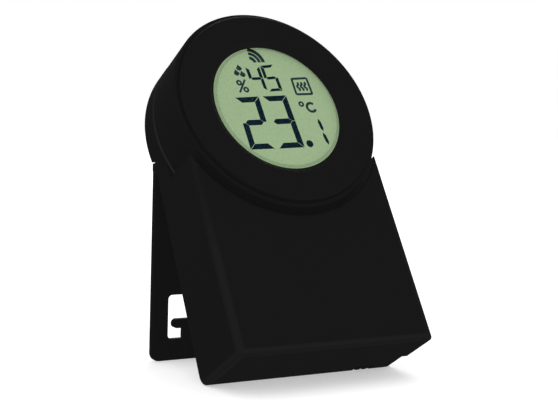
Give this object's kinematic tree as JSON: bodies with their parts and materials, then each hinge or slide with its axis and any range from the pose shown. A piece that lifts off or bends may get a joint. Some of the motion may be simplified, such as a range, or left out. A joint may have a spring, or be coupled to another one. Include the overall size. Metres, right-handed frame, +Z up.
{
  "type": "wireless room thermostat",
  "caption": "Wireless room thermostat: flat box with a round turning dial round a green display, standing on a hinged stand plate.",
  "frame": {"origin": "middle of the bottom of the bounding box, on the table", "axes": "+Z up, the leaning front faces -Y, +X to the right as seen by someone in front of it"},
  "size_m": [0.078, 0.0858, 0.1231],
  "materials": {
    "black_housing": "fine matte texture",
    "black_dial": "fine matte texture",
    "grey_button": "matte",
    "switch_plastic": "matte",
    "cell_sleeve": "printed sleeve on a metal can",
    "contact_metal": "nickel plated",
    "gear_plastic": "natural, slightly glossy",
    "clear_window": "clear polished",
    "display_green": "pale green display with dark figures",
    "light_guide": "milky",
    "led_package": "glossy",
    "ribbon_film": "amber film",
    "inner_plastic": "matte",
    "board_laminate": "green lacquer",
    "chip_resin": "matte",
    "shield_can": "tinned",
    "coil_copper": "copper wire",
    "pin_steel": "ground",
    "screw_steel": "zinc plated"
  },
  "bodies": {
    "housing": {"front_shell": "black_housing", "rear_shell": "black_housing", "battery_cover": "black_housing", "lower_battery_cell": "cell_sleeve", "upper_battery_cell": "cell_sleeve", "series_contact": "contact_metal", "battery_terminals": "contact_metal", "contact_springs": "contact_metal", "encoder_body": "switch_plastic", "window_lens": "clear_window", "display_glass": "display_green", "light_guide": "light_guide", "backlight_leds": "led_package", "display_ribbon": "ribbon_film", "display_carrier": "inner_plastic", "dial_retainer": "gear_plastic", "main_board": "board_laminate", "processor": "chip_resin", "board_connector": "switch_plastic", "radio_board": "board_laminate", "radio_module": "shield_can", "antenna": "coil_copper", "sensor_board": "board_laminate", "climate_sensor": "chip_resin", "sensor_ribbon": "ribbon_film", "pairing_switch": "switch_plastic", "hinge_pins": "pin_steel", "housing_screws": "screw_steel", "carrier_screws": "screw_steel"},
    "dial": {"dial_ring": "black_dial", "dial_drum": "black_dial"},
    "encoder": {"encoder_pinion": "gear_plastic"},
    "stand": {"stand_plate": "black_housing"},
    "button": {"pairing_button": "grey_button", "switch_plunger": "switch_plastic"}
  },
  "joints": [
    {"name": "dial_turn", "type": "hinge", "parent": "housing", "child": "dial", "pos_m": [0, 0.00327, 0.08909], "axis": [0, 0.8471, -0.5314], "continuous": true},
    {"name": "encoder_spin", "type": "hinge", "parent": "housing", "child": "encoder", "pos_m": [0, 0.01849, 0.11334], "axis": [0, 0.8471, -0.5314], "continuous": true},
    {"name": "stand_hinge", "type": "hinge", "parent": "housing", "child": "stand", "pos_m": [0, 0.01959, 0.06776], "axis": [1, 0, 0], "range_deg": [-28.7, 0]},
    {"name": "pairing_press", "type": "slide", "parent": "housing", "child": "button", "axis": [0, -0.8471, 0.5314], "range_m": [0, 0.0004], "stiffness_N_per_m": 1000}
  ],
  "couplings": [
    {"joint": "encoder_spin", "follows": "dial_turn", "ratio": 7}
  ]
}
